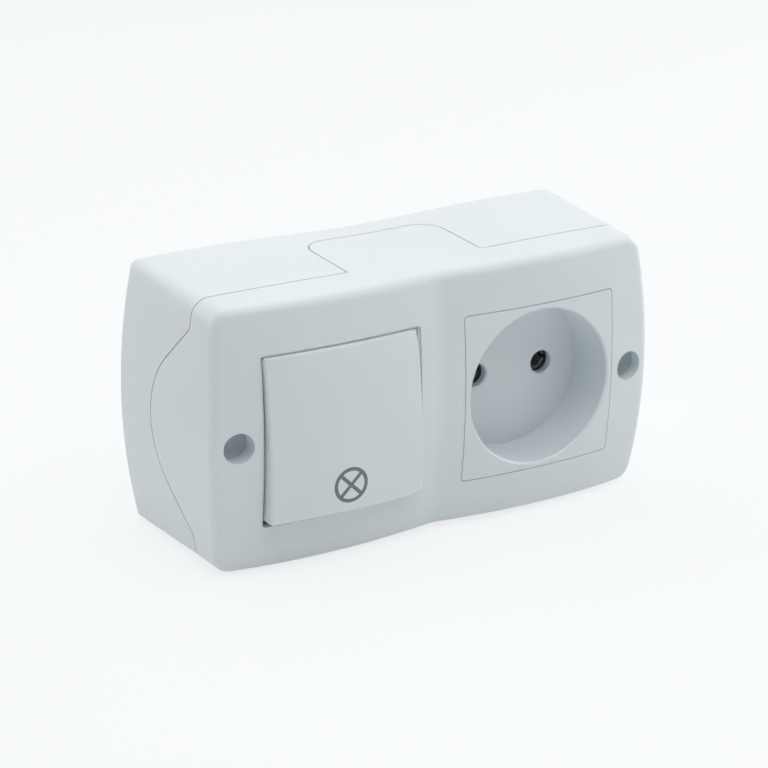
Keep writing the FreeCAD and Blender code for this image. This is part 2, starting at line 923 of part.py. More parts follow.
def rocker():
    """Domed square rocker with thin skirts, two ribs that sit on the cradle and two hooks."""
    shell = rocker_form().cut(rocker_inside(rocker_wall, -rocker_back_depth))
    seat = -cradle_front_depth - assembly_gap
    extras = []
    for side in (-1, 1):
        x = switch_x + side * rocker_rib_x
        half = rocker_rib_thickness / 2
        rib = block(x - half, x + half, -drawing_depth, seat, -cradle_half_height, cradle_half_height)
        extras.append(rib.common(rocker_inside(rocker_wall / 2, -rocker_back_depth)))
        near = side * (cradle_half_height + assembly_gap)
        far = near + side * hook_thickness
        low, high = sorted((near, far))
        hook_back = -cradle_front_depth + cradle_plate + assembly_gap + hook_nose
        hook = block(
            switch_x - hook_half_width,
            switch_x + hook_half_width,
            -drawing_depth,
            hook_back,
            low,
            high,
        )
        extras.append(hook.common(rocker_inside(rocker_wall / 2, hook_back)))
        low, high = sorted((near - side * hook_nose, far))
        nose = block(
            switch_x - hook_half_width,
            switch_x + hook_half_width,
            hook_back - hook_nose,
            hook_back,
            low,
            high,
        )
        extras.append(nose)
    return pressed_in(fused(shell, *extras))


def rocker_cradle():
    """Carrier under the rocker: plate, two arms with trunnions and the plunger's barrel."""
    front = -cradle_front_depth
    plate = square_bar(
        switch_x,
        0,
        cradle_half_width,
        cradle_half_height,
        rocker_corner_radius,
        front,
        front + cradle_plate,
    )
    bore_radius = plunger_radius + plunger_clearance
    barrel_radius = bore_radius + cradle_barrel_wall
    barrel = rod(barrel_radius, switch_x, 0, front, -cradle_barrel_back_depth)
    bore_front = front + cradle_plate / 2
    bore = rod(bore_radius, switch_x, 0, bore_front, -cradle_barrel_back_depth)
    pieces = [barrel]
    for side in (-1, 1):
        outer = switch_x + side * cradle_half_width
        inner = outer - side * cradle_arm_thickness
        low, high = sorted((outer, inner))
        half = cradle_arm_half_height
        pieces.append(block(low, high, front, rocker_pivot, -half, half))
        pieces.append(cross_rod(half, rocker_pivot, 0, low, high))
        end = switch_x + side * (base_half_width - assembly_gap)
        low, high = sorted((outer, end))
        pieces.append(cross_rod(trunnion_radius, rocker_pivot, 0, low, high))
    return pressed_in(fused(plate, *pieces).cut(bore))


def plunger():
    """Round-nosed plunger that slides in the cradle's barrel."""
    nose = Part.makeSphere(plunger_radius, vector(switch_x, -plunger_tip_depth - plunger_radius, 0))
    stem = rod(
        plunger_radius,
        switch_x,
        0,
        -plunger_front_depth,
        -plunger_tip_depth - plunger_radius,
    )
    return pressed_in(fused(stem, nose))


def coil(radius, length, turns, wire_half):
    """Coil of square wire along +Y from the origin, in short straight lengths."""
    steps = turns * coil_steps
    rings = []
    for step in range(steps + 1):
        angle = 2 * math.pi * step / coil_steps
        y = length * step / steps
        ring = []
        for out, along in ((-1, -1), (1, -1), (1, 1), (-1, 1)):
            reach = radius + out * wire_half
            ring.append(
                vector(reach * math.cos(angle), y + along * wire_half, reach * math.sin(angle))
            )
        rings.append(ring)
    triangles = []
    for near, far in zip(rings, rings[1:]):
        for k in range(4):
            after = (k + 1) % 4
            triangles.append((near[k], near[after], far[after]))
            triangles.append((near[k], far[after], far[k]))
    faces = [Part.Face(Part.makePolygon([a, b, c, a])) for a, b, c in triangles]
    faces += [Part.Face(Part.makePolygon(end + end[:1])) for end in (rings[0], rings[-1])]
    solid = Part.makeSolid(Part.makeShell(faces))
    return solid if solid.Volume > 0 else solid.reversed()


def plunger_spring():
    """Coil spring behind the plunger, drawn as short as it is with the plunger pushed in."""
    bore_front = -cradle_front_depth + cradle_plate / 2
    spring_front = bore_front + plunger_travel + spring_free_gap + spring_wire_half
    spring_back = -plunger_front_depth - spring_wire_half
    spring = coil(spring_coil_radius, spring_back - spring_front, spring_turns, spring_wire_half)
    spring.translate(vector(switch_x, spring_front, 0))
    return pressed_in(spring)


# Socket


def socket_insert():
    """Square plate that follows the dome, with the round well, its floor and two snap legs."""
    half = insert_size / 2
    plate = square_bar(
        socket_x, 0, half, half, insert_corner_radius, -drawing_depth, -insert_skirt_depth
    )
    plate = plate.common(domes(0))
    floor_back = -well_floor_depth + well_floor
    well = well_hollow()
    plate = plate.cut(well)
    tube = rod(well_radius + well_wall, socket_x, 0, -insert_skirt_depth, floor_back).cut(well)
    legs = []
    for up in (-1, 1):
        near = up * (base_half_height + leg_gap)
        far = near + up * leg_thickness
        low, high = sorted((near, far))
        leg_end = floor_back + leg_length
        legs.append(
            block(
                socket_x - leg_half_width,
                socket_x + leg_half_width,
                floor_back - well_floor / 2,
                leg_end,
                low,
                high,
            )
        )
        low, high = sorted((near - up * leg_nose, far))
        legs.append(
            block(
                socket_x - leg_half_width,
                socket_x + leg_half_width,
                leg_end - leg_thickness,
                leg_end,
                low,
                high,
            )
        )
    holes = []
    for side in (-1, 1):
        x = socket_x + side * pin_pitch / 2
        holes.append(rod(pin_hole_radius, x, 0, -well_floor_depth, floor_back))
        lead = Part.makeCone(
            pin_hole_radius + pin_hole_lead,
            pin_hole_radius,
            pin_hole_lead,
            vector(x, -well_floor_depth, 0),
            vector(0, 1, 0),
        )
        holes.append(lead)
    return fused(plate, tube, *legs).cut(holes)


def well_hollow():
    """Round hollow of the socket, with a narrow bevel where it opens into the dome."""
    mouth_radius = well_radius + well_rim
    centre_y = dome_radius - overall_depth
    mouth_y = centre_y - math.sqrt(dome_radius**2 - mouth_radius**2)
    past_mouth = drawing_depth + mouth_y
    return turned(
        [
            (0, -well_floor_depth),
            (well_radius, -well_floor_depth),
            (well_radius, mouth_y + well_rim),
            (mouth_radius + past_mouth, -drawing_depth),
            (0, -drawing_depth),
        ],
        socket_x,
        0,
    )


def socket_base():
    """Base block of the socket: contact bores, terminal pockets and notches for the snap legs."""
    front = -well_floor_depth + well_floor + assembly_gap
    base = eared_block(socket_x, socket_base_half_width, front)
    holes = []
    room = pocket_clearance
    for side in (-1, 1):
        x = socket_x + side * pin_pitch / 2
        holes.append(rod(contact_bore_radius, x, 0, front, -contact_bore_floor_depth))
        holes.append(terminal_pocket(socket_x, socket_terminal_z, side, socket_base_half_width))
        tail = block(
            x - strip_half_width - room,
            x + strip_half_width + room,
            -sleeve_back_depth - strip_thickness - room,
            -sleeve_back_depth + room,
            0,
            socket_terminal_z,
        )
        holes.append(tail)
    for up in (-1, 1):
        leg_end = -well_floor_depth + well_floor + leg_length
        outer = up * (base_half_height + leg_thickness)
        inner = up * (base_half_height + leg_gap - leg_nose - room)
        low, high = sorted((inner, outer))
        notch = block(
            socket_x - leg_half_width - room,
            socket_x + leg_half_width + room,
            leg_end - leg_thickness - room,
            leg_end + room,
            low,
            high,
        )
        holes.append(notch)
    return base.cut(holes)


def contact_sleeve(side):
    """Slotted brass sleeve that grips a plug pin, with a tail to its terminal block."""
    x = socket_x + side * pin_pitch / 2
    outer_radius = sleeve_inner_radius + sleeve_wall
    sleeve = rod(outer_radius, x, 0, -sleeve_front_depth, -sleeve_back_depth)
    bore = rod(sleeve_inner_radius, x, 0, -sleeve_front_depth, -sleeve_back_depth - strip_thickness)
    slot_half = sleeve_slot / 2
    slot = block(
        x - 2 * outer_radius,
        x + 2 * outer_radius,
        -sleeve_front_depth,
        -sleeve_front_depth + sleeve_slot_length,
        -slot_half,
        slot_half,
    )
    tail = block(
        x - strip_half_width,
        x + strip_half_width,
        -sleeve_back_depth - strip_thickness,
        -sleeve_back_depth,
        0,
        socket_terminal_z - terminal_half_height,
    )
    block_piece = terminal_block(socket_x, socket_terminal_z, side)
    return fused(sleeve.cut([bore, slot]), tail, block_piece)


def grip_ring(side):
    """Open steel ring around a sleeve's slotted end that keeps it tight on the pin."""
    x = socket_x + side * pin_pitch / 2
    inner = sleeve_inner_radius + sleeve_wall
    front = -grip_ring_depth
    back = front + grip_ring_length
    ring = rod(inner + grip_ring_wall, x, 0, front, back).cut(rod(inner, x, 0, front, back))
    half = grip_ring_gap / 2
    reach = 2 * inner
    return ring.cut(block(x - half, x + half, front, back, 0, reach))


def terminal_screws(x, places):
    """The clamping screws of one base block, as (height, side) places."""
    return Part.makeCompound([terminal_screw(x, z, side) for z, side in places])


def save(name, shape):
    """Writes one piece, as the file that carries its name."""
    shape.exportStep(os.path.join("parts", name + ".step"))


def main():
    os.makedirs("parts", exist_ok=True)
    save("back_box", back_box())
    save("front_cover", front_cover())
    save("cover_screw_left", cover_screw(-1))
    save("cover_screw_right", cover_screw(1))
    save("switch_base", switch_base())
    save("switch_fixing_screws", insert_screws(switch_x))
    save("common_terminal", common_terminal())
    save("outgoing_terminal", outgoing_terminal())
    save("fixed_contact", fixed_contact())
    save("switch_terminal_screws", terminal_screws(switch_x, [(0, -1), (contact_z, 1)]))
    save("contact_lever", contact_lever())
    save("moving_contact", moving_contact())
    save("rocker", rocker())
    save("rocker_cradle", rocker_cradle())
    save("plunger", plunger())
    save("plunger_spring", plunger_spring())
    save("socket_insert", socket_insert())
    save("socket_base", socket_base())
    save("socket_fixing_screws", insert_screws(socket_x))
    save("contact_sleeve_left", contact_sleeve(-1))
    save("contact_sleeve_right", contact_sleeve(1))
    save("grip_ring_left", grip_ring(-1))
    save("grip_ring_right", grip_ring(1))
    both_sides = [(socket_terminal_z, -1), (socket_terminal_z, 1)]
    save("socket_terminal_screws", terminal_screws(socket_x, both_sides))


main()
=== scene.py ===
"""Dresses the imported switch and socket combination: finishes, finer forms, print and studio."""

import math

import bmesh
import bpy
from bpy.props import FloatProperty, FloatVectorProperty, PointerProperty
from mathutils import Matrix, Vector
from mathutils.bvhtree import BVHTree


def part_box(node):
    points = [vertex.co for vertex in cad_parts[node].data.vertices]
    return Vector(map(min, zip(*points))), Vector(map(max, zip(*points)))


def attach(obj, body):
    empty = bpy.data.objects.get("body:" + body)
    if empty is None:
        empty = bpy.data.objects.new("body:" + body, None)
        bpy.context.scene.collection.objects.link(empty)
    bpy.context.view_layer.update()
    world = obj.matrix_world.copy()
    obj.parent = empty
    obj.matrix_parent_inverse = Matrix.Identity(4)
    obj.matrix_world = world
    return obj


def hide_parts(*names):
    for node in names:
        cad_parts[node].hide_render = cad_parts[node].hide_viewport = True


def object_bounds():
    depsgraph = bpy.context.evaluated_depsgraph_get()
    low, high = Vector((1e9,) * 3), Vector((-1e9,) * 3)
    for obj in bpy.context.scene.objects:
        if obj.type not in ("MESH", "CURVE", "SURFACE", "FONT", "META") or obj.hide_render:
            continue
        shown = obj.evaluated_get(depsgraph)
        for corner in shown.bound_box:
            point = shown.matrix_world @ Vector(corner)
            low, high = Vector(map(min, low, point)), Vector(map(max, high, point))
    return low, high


bl_info = {
    "name": "Switch and Socket Combination",
    "version": (1, 0, 0),
    "blender": (4, 5, 0),
    "location": "3D View > Sidebar > Wall Accessory",
    "description": "Finishes a surface-mounted rocker switch with a two-pin socket",
    "category": "Object",
}

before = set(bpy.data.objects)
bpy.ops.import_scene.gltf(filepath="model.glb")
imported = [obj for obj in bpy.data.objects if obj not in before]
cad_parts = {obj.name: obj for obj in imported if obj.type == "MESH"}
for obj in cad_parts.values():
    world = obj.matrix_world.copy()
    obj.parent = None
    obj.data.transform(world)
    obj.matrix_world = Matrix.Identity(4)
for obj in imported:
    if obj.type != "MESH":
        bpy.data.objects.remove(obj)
solid_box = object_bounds()

HOUSING = ("back_box", "front_cover")
INNER_PLASTIC = ("switch_base", "socket_base", "rocker_cradle", "plunger")
BRASS = ("common_terminal", "outgoing_terminal", "contact_lever")
SLEEVES = ("contact_sleeve_left", "contact_sleeve_right")
CONTACT_METAL = ("fixed_contact", "moving_contact")
SPRING_STEEL = ("grip_ring_left", "grip_ring_right")
PLATED_STEEL = (
    "cover_screw_left",
    "cover_screw_right",
    "switch_fixing_screws",
    "switch_terminal_screws",
    "socket_fixing_screws",
    "socket_terminal_screws",
)

UPRIGHT = Matrix.Rotation(math.radians(90), 3, "X")
SHARP_EDGE = math.radians(35)
MERGE_DISTANCE = 0.0000005


class PlasticSettings(bpy.types.PropertyGroup):
    """Colours and surface of the moulded plastics."""

    housing_colour: FloatVectorProperty(
        name="Housing Colour",
        description="Colour of the back box and the front cover",
        subtype="COLOR",
        size=3,
        min=0.0,
        max=1.0,
        default=(0.745, 0.795, 0.815),
    )
    insert_colour: FloatVectorProperty(
        name="Insert Colour",
        description="Colour of the rocker and the socket insert",
        subtype="COLOR",
        size=3,
        min=0.0,
        max=1.0,
        default=(0.742, 0.797, 0.82),
    )
    base_colour: FloatVectorProperty(
        name="Base Colour",
        description="Colour of the hidden base blocks, the cradle and the plunger",
        subtype="COLOR",
        size=3,
        min=0.0,
        max=1.0,
        default=(0.34, 0.35, 0.36),
    )
    housing_roughness: FloatProperty(
        name="Housing Roughness",
        description="Roughness of the satin housing",
        subtype="FACTOR",
        min=0.0,
        max=1.0,
        default=0.42,
    )
    insert_roughness: FloatProperty(
        name="Insert Roughness",
        description="Roughness of the smoother rocker and socket insert",
        subtype="FACTOR",
        min=0.0,
        max=1.0,
        default=0.36,
    )
    grain: FloatProperty(
        name="Grain",
        description="Size of the fine spark-eroded grain on the moulded faces",
        unit="LENGTH",
        default=0.00022,
    )
    edge_softness: FloatProperty(
        name="Edge Softness",
        description="Radius that the moulded edges show",
        unit="LENGTH",
        default=0.00018,
    )


class MetalSettings(bpy.types.PropertyGroup):
    """Colours of the metals."""

    brass: FloatVectorProperty(
        name="Brass",
        description="Colour of the terminals and the lever",
        subtype="COLOR",
        size=3,
        min=0.0,
        max=1.0,
        default=(0.74, 0.52, 0.22),
    )
    # The sleeves' dark grey-blue is partly painted shade: it stands in for the shade deep in the
    # pin holes, darker than bare brass would be.
    sleeve: FloatVectorProperty(
        name="Sleeve",
        description="Colour of the darkened contact sleeves behind the pin holes",
        subtype="COLOR",
        size=3,
        min=0.0,
        max=1.0,
        default=(0.3, 0.34, 0.4),
    )
    plated: FloatVectorProperty(
        name="Plated Steel",
        description="Colour of the zinc-plated screws",
        subtype="COLOR",
        size=3,
        min=0.0,
        max=1.0,
        default=(0.34, 0.39, 0.44),
    )
    contact: FloatVectorProperty(
        name="Contact Metal",
        description="Colour of the contact buttons",
        subtype="COLOR",
        size=3,
        min=0.0,
        max=1.0,
        default=(0.78, 0.78, 0.76),
    )
    spring: FloatVectorProperty(
        name="Spring Steel",
        description="Colour of the coil spring and the grip rings",
        subtype="COLOR",
        size=3,
        min=0.0,
        max=1.0,
        default=(0.36, 0.37, 0.39),
    )


class RockerSettings(bpy.types.PropertyGroup):
    """Rocker as it stands in its opening."""

    pivot: FloatVectorProperty(
        name="Pivot",
        description="Point on the rocker's hinge",
        unit="LENGTH",
        size=3,
        default=(-0.027, -0.037, 0.0),
    )
    tilt: FloatProperty(
        name="Tilt",
        description="How far the rocker stands from level at rest",
        subtype="ANGLE",
        default=math.radians(4.5),
    )
    skirt_back: FloatProperty(
        name="Skirt Back",
        description="Where the skirts end, measured from the wall",
        unit="LENGTH",
        default=0.0395,
    )
    apex: FloatProperty(
        name="Apex",
        description="Height of the level rocker's dome over the wall",
        unit="LENGTH",
        default=0.0465,
    )
    rise: FloatProperty(
        name="Rise",
        description="How much further the face stands out of the opening",
        unit="LENGTH",
        default=0.00138,
    )
    width: FloatProperty(
        name="Width",
        description="Width across the opening, as a share of the solid's",
        default=0.989,
    )
    height: FloatProperty(
        name="Height",
        description="Height along the opening, as a share of the solid's",
        default=0.995,
    )
    drop: FloatProperty(
        name="Drop",
        description="How far the face sits below the middle of the opening",
        unit="LENGTH",
        default=0.0002,
    )


class OpeningSettings(bpy.types.PropertyGroup):
    """Frame that shows in the gap round the rocker."""

    outer: FloatProperty(
        name="Outer",
        description="Half the frame's size across, where it meets the opening's wall",
        unit="LENGTH",
        default=0.02104,
    )
    inner_side: FloatProperty(
        name="Inner Side",
        description="From the rocker's middle to the frame's left and right inner edges",
        unit="LENGTH",
        default=0.02046,
    )
    inner_top: FloatProperty(
        name="Inner Top",
        description="From the rocker's middle to the frame's upper inner edge",
        unit="LENGTH",
        default=0.02046,
    )
    inner_bottom: FloatProperty(
        name="Inner Bottom",
        description="From the rocker's middle to the frame's lower inner edge",
        unit="LENGTH",
        default=0.02096,
    )
    depth: FloatProperty(
        name="Depth",
        description="How far the frame lies under the housing's face",
        unit="LENGTH",
        default=0.0006,
    )
    dome_radius: FloatProperty(
        name="Dome Radius",
        description="Radius of the housing's domed face, which the frame follows",
        unit="LENGTH",
        default=0.17,
    )
    dome_apex: FloatProperty(
        name="Dome Apex",
        description="Height of the domed face over the wall",
        unit="LENGTH",
        default=0.0458,
    )
    thickness: FloatProperty(
        name="Thickness",
        description="Thickness of the frame",
        unit="LENGTH",
        default=0.0008,
    )


class HousingSettings(bpy.types.PropertyGroup):
    """Corners of the back box, and what shows in the holes of the front."""

    rear_corner_radius: FloatProperty(
        name="Rear Corner Radius",
        description="Radius of the upright corners where the back box meets the wall",
        unit="LENGTH",
        default=0.002,
    )
    front_corner_radius: FloatProperty(
        name="Front Corner Radius",
        description="Radius that the corners grow to at the seam",
        unit="LENGTH",
        default=0.0045,
    )
    corner_depth: FloatProperty(
        name="Corner Depth",
        description="From the wall to where the corners have their full radius",
        unit="LENGTH",
        default=0.03,
    )
    plug_radius: FloatProperty(
        name="Plug Radius",
        description="Radius of the blind plugs over the cover screws",
        unit="LENGTH",
        default=0.00369,
    )
    plug_place: FloatVectorProperty(
        name="Plug Place",
        description="Middle of the right plug's front, across and out from the wall",
        unit="LENGTH",
        size=2,
        default=(0.05366, 0.0399),
    )
    plug_length: FloatProperty(
        name="Plug Length",
        description="Length of the blind plugs",
        unit="LENGTH",
        default=0.0022,
    )
    plug_cup: FloatProperty(
        name="Plug Cup",
        description="How deep the blind plugs are hollowed",
        unit="LENGTH",
        default=0.001,
    )
    plug_rim: FloatProperty(
        name="Plug Rim",
        description="Width of each ring of the blind plugs' cups",
        unit="LENGTH",
        default=0.0004,
    )
    # This grey is painted shade: the plugs are darker than the housing plastic so that the screw
    # wells look shaded.
    plug_colour: FloatVectorProperty(
        name="Plug Colour",
        description="Colour of the blind plugs",
        subtype="COLOR",
        size=3,
        min=0.0,
        max=1.0,
        default=(0.45, 0.52, 0.57),
    )
    pin_hole_size: FloatProperty(
        name="Pin Hole Size",
        description="Width of the pin holes' rims, as a share of the solid's",
        default=1.13,
    )


class SymbolSettings(bpy.types.PropertyGroup):
    """Lamp symbol printed low on the rocker."""

    place: FloatVectorProperty(
        name="Place",
        description="Middle of the symbol, across and up",
        unit="LENGTH",
        size=2,
        default=(-0.0272, -0.0127),
    )
    radius: FloatProperty(
        name="Radius",
        description="Outer radius of the ring",
        unit="LENGTH",
        default=0.0044,
    )
    stroke: FloatProperty(
        name="Stroke",
        description="Width of the printed lines",
        unit="LENGTH",
        default=0.0009,
    )
    ink_thickness: FloatProperty(
        name="Ink Thickness",
        description="Height of the ink on the rocker",
        unit="LENGTH",
        default=0.00001,
    )
    colour: FloatVectorProperty(
        name="Ink Colour",
        description="Colour of the print",
        subtype="COLOR",
        size=3,
        min=0.0,
        max=1.0,
        default=(0.16, 0.19, 0.21),
    )


class SpringSettings(bpy.types.PropertyGroup):
    """Coil spring behind the plunger."""

    wire_radius: FloatProperty(
        name="Wire Radius",
        description="Half the thickness of the spring's wire",
        unit="LENGTH",
        default=0.00019,
    )
    turns: FloatProperty(
        name="Turns",
        description="Number of turns of the coil",
        default=5.0,
    )


class StudioSettings(bpy.types.PropertyGroup):
    """Camera, floor and lamps."""

    azimuth: FloatProperty(
        name="Azimuth",
        description="Turn of the camera round the object",
        subtype="ANGLE",
        default=math.radians(-30.713),
    )
    elevation: FloatProperty(
        name="Elevation",
        description="Height of the camera over the horizon",
        subtype="ANGLE",
        default=math.radians(21.315),
    )
    roll: FloatProperty(
        name="Roll",
        description="Turn of the camera about its own line of sight",
        subtype="ANGLE",
        default=math.radians(0.469),
    )
    distance: FloatProperty(
        name="Distance",
        description="From the camera to the point it looks at",
        unit="LENGTH",
        default=0.61003,
    )
    aim: FloatVectorProperty(
        name="Aim",
        description="Point on the object's middle plane that the camera looks at",
        unit="LENGTH",
        size=3,
        default=(-0.003755, -0.023132, -0.000798),
    )
    lens: FloatProperty(
        name="Lens",
        description="Focal length on a 36 mm sensor, in millimetres",
        default=118.63,
    )
    floor_colour: FloatVectorProperty(
        name="Floor Colour",
        description="Colour of the floor and of what lies beyond it",
        subtype="COLOR",
        size=3,
        min=0.0,
        max=1.0,
        default=(0.945, 0.962, 0.968),
    )
    surround: FloatProperty(
        name="Surround",
        description="Strength of the even light from all round",
        default=0.145,
    )
    overhead_front: FloatProperty(
        name="Overhead Front",
        description="Power of the softbox above and in front, in watts",
        default=4.67,
    )
    overhead_back: FloatProperty(
        name="Overhead Back",
        description="Power of the softbox above and behind, in watts",
        default=3.72,
    )
    from_left: FloatProperty(
        name="From the Left",
        description="Power of the softbox on the left, in watts",
        default=2.3,
    )
    from_right: FloatProperty(
        name="From the Right",
        description="Power of the softbox on the right, in watts",
        default=4.65,
    )
    from_front: FloatProperty(
        name="From the Front",
        description="Power of the softbox in front and to the right, in watts",
        default=0.44,
    )


def settings(context):
    """The settings kept with the scene."""
    return context.scene.wall_accessory


def new_material(name):
    """An empty node material with its Principled shader."""
    material = bpy.data.materials.new(name)
    material.use_nodes = True
    tree = material.node_tree
    return material, tree, tree.nodes["Principled BSDF"]


def object_coordinates(tree):
    """The socket that gives a point's place on the object in metres."""
    return tree.nodes.new("ShaderNodeTexCoord").outputs["Object"]


def noise(tree, place, scale, detail):
    """A noise texture over the object, its scale in features per metre."""
    texture = tree.nodes.new("ShaderNodeTexNoise")
    texture.inputs["Scale"].default_value = scale
    texture.inputs["Detail"].default_value = detail
    tree.links.new(place, texture.inputs["Vector"])
    return texture.outputs["Fac"]


def remapped(tree, value, low, high):
    """The middle range of a noise value, spread to lie between two others."""
    node = tree.nodes.new("ShaderNodeMapRange")
    node.inputs["From Min"].default_value = 0.3
    node.inputs["From Max"].default_value = 0.7
    node.inputs["To Min"].default_value = low
    node.inputs["To Max"].default_value = high
    tree.links.new(value, node.inputs["Value"])
    return node.outputs["Result"]


def shaded(colour, factor):
    """A colour made lighter or darker, for a node's colour socket."""
    return (*[min(1.0, channel * factor) for channel in colour], 1.0)


def mixed(tree, value, colour, darker, lighter):
    """A colour that drifts between two close shades of itself."""
    mix = tree.nodes.new("ShaderNodeMix")
    mix.data_type = "RGBA"
    mix.inputs["A"].default_value = shaded(colour, darker)
    mix.inputs["B"].default_value = shaded(colour, lighter)
    tree.links.new(remapped(tree, value, 0.0, 1.0), mix.inputs["Factor"])
    return mix.outputs["Result"]


def relief(tree, height, depth, strength, below=None):
    """A bump of the given depth in metres, laid over another normal if there is one."""
    bump = tree.nodes.new("ShaderNodeBump")
    bump.inputs["Strength"].default_value = strength
    bump.inputs["Distance"].default_value = depth
    tree.links.new(height, bump.inputs["Height"])
    if below is not None:
        tree.links.new(below, bump.inputs["Normal"])
    return bump.outputs["Normal"]


def soft_edges(tree, radius):
    """Normals that round the edges by a small radius."""
    bevel = tree.nodes.new("ShaderNodeBevel")
    bevel.samples = 4
    bevel.inputs["Radius"].default_value = radius
    return bevel.outputs["Normal"]


def moulded_plastic(name, colour, roughness, plastic):
    """Satin moulded plastic with a fine grain, slightly soft edges and a little depth."""
    material, tree, shader = new_material(name)
    place = object_coordinates(tree)
    drift = noise(tree, place, scale=45.0, detail=3.0)
    speckle = noise(tree, place, scale=1.0 / plastic.grain, detail=2.0)
    tint = mixed(tree, drift, colour, darker=0.985, lighter=1.01)
    dulled = remapped(tree, drift, low=roughness - 0.03, high=roughness + 0.03)
    rounded = soft_edges(tree, plastic.edge_softness)
    grained = relief(tree, speckle, depth=plastic.grain * 0.1, strength=0.35, below=rounded)
    tree.links.new(tint, shader.inputs["Base Color"])
    tree.links.new(dulled, shader.inputs["Roughness"])
    tree.links.new(grained, shader.inputs["Normal"])
    shader.inputs["IOR"].default_value = 1.49
    shader.inputs["Subsurface Weight"].default_value = 0.12
    shader.inputs["Subsurface Radius"].default_value = (1.0, 1.0, 0.95)
    shader.inputs["Subsurface Scale"].default_value = 0.0008
    return material


def metal(name, colour, roughness, wear_scale):
    """Bare or plated metal with faint marks."""
    material, tree, shader = new_material(name)
    place = object_coordinates(tree)
    tarnish = noise(tree, place, scale=wear_scale, detail=5.0)
    marks = noise(tree, place, scale=wear_scale * 6.0, detail=3.0)
    tint = mixed(tree, tarnish, colour, darker=0.82, lighter=1.1)
    dulled = remapped(tree, tarnish, low=roughness - 0.06, high=roughness + 0.1)
    rounded = soft_edges(tree, radius=0.00012)
    marked = relief(tree, marks, depth=0.00001, strength=0.4, below=rounded)
    tree.links.new(tint, shader.inputs["Base Color"])
    tree.links.new(dulled, shader.inputs["Roughness"])
    tree.links.new(marked, shader.inputs["Normal"])
    shader.inputs["Metallic"].default_value = 1.0
    return material


def printed_ink(name, colour):
    """Matt printing ink with the faint unevenness of a pad print."""
    material, tree, shader = new_material(name)
    place = object_coordinates(tree)
    cover = noise(tree, place, scale=2500.0, detail=4.0)
    tint = mixed(tree, cover, colour, darker=0.92, lighter=1.12)
    uneven = relief(tree, cover, depth=0.00001, strength=0.3)
    tree.links.new(tint, shader.inputs["Base Color"])
    tree.links.new(uneven, shader.inputs["Normal"])
    shader.inputs["Roughness"].default_value = 0.5
    return material


def give(material, *nodes):
    """Puts a material on every face of the named solids."""
    for node in nodes:
        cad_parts[node].data.materials.clear()
        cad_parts[node].data.materials.append(material)


def new_piece(name, form, material, body):
    """A finished piece from a bmesh, riding on a body."""
    mesh = bpy.data.meshes.new(name)
    form.to_mesh(mesh)
    form.free()
    piece = bpy.data.objects.new(name, mesh)
    bpy.context.scene.collection.objects.link(piece)
    mesh.materials.append(material)
    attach(piece, body)
    return piece


def shade_smooth(form, sharp_from):
    """Smooths the faces that have four sides, and keeps edges at or over an angle sharp."""
    for face in form.faces:
        face.smooth = len(face.verts) == 4
    for edge in form.edges:
        edge.smooth = edge.calc_face_angle(0.0) < sharp_from


def face_front(form):
    """Makes an open sheet of faces look to the front."""
    bmesh.ops.recalc_face_normals(form, faces=form.faces)
    total = sum((face.normal for face in form.faces), Vector())
    if total.y > 0:
        bmesh.ops.reverse_faces(form, faces=form.faces)


def away_from(azimuth, elevation):
    """The direction from the object to what stands at an azimuth from its front and a height."""
    return Vector(
        (
            math.sin(azimuth) * math.cos(elevation),
            -math.cos(azimuth) * math.cos(elevation),
            math.sin(elevation),
        )
    )


def reshaped(name, node, change, body):
    """A merged copy of a solid with every point moved by change, standing for that solid."""
    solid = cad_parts[node].data
    form = bmesh.new()
    form.from_mesh(solid)
    bmesh.ops.remove_doubles(form, verts=form.verts, dist=MERGE_DISTANCE)
    for vert in form.verts:
        vert.co = change(vert.co)
    for face in form.faces:
        face.smooth = True
    for edge in form.edges:
        edge.smooth = edge.calc_face_angle(0.0) < SHARP_EDGE
    piece = new_piece(name, form, solid.materials[0], body)
    even = piece.modifiers.new("even_shading", "WEIGHTED_NORMAL")
    even.keep_sharp = True
    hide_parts(node)
    return piece


class OBJECT_OT_finish_housing(bpy.types.Operator):
    """Gives the back box and the front cover their satin plastic"""

    bl_idname = "wall_accessory.finish_housing"
    bl_label = "Finish Housing"

    def execute(self, context):
        plastic = settings(context).plastic
        finish = moulded_plastic(
            "satin_housing_plastic", plastic.housing_colour, plastic.housing_roughness, plastic
        )
        give(finish, *HOUSING)
        return {"FINISHED"}


class OBJECT_OT_finish_inserts(bpy.types.Operator):
    """Gives the rocker and the socket insert their smoother plastic"""

    bl_idname = "wall_accessory.finish_inserts"
    bl_label = "Finish Inserts"

    def execute(self, context):
        plastic = settings(context).plastic
        finish = moulded_plastic(
            "smooth_insert_plastic", plastic.insert_colour, plastic.insert_roughness, plastic
        )
        give(finish, "rocker", "socket_insert")
        return {"FINISHED"}


class OBJECT_OT_finish_works(bpy.types.Operator):
    """Gives the pieces behind the cover their plastics and metals"""

    bl_idname = "wall_accessory.finish_works"
    bl_label = "Finish Works"

    BASE_ROUGHNESS = 0.5
    METALS = (
        ("pressed_brass", "brass", 0.28, 350.0, BRASS),
        # Metal for the sleeves, darkened to paint in the shade deep in the pin holes.
        ("darkened_brass", "sleeve", 0.72, 350.0, SLEEVES),
        ("contact_metal", "contact", 0.2, 500.0, CONTACT_METAL),
        ("drawn_spring_steel", "spring", 0.3, 600.0, SPRING_STEEL),
        ("zinc_plate", "plated", 0.5, 420.0, PLATED_STEEL),
    )

    def execute(self, context):
        plastic = settings(context).plastic
        metals = settings(context).metals
        blocks = moulded_plastic(
            "grey_base_plastic", plastic.base_colour, self.BASE_ROUGHNESS, plastic
        )
        give(blocks, *INNER_PLASTIC)
        for name, colour, roughness, wear_scale, nodes in self.METALS:
            give(metal(name, getattr(metals, colour), roughness, wear_scale), *nodes)
        return {"FINISHED"}


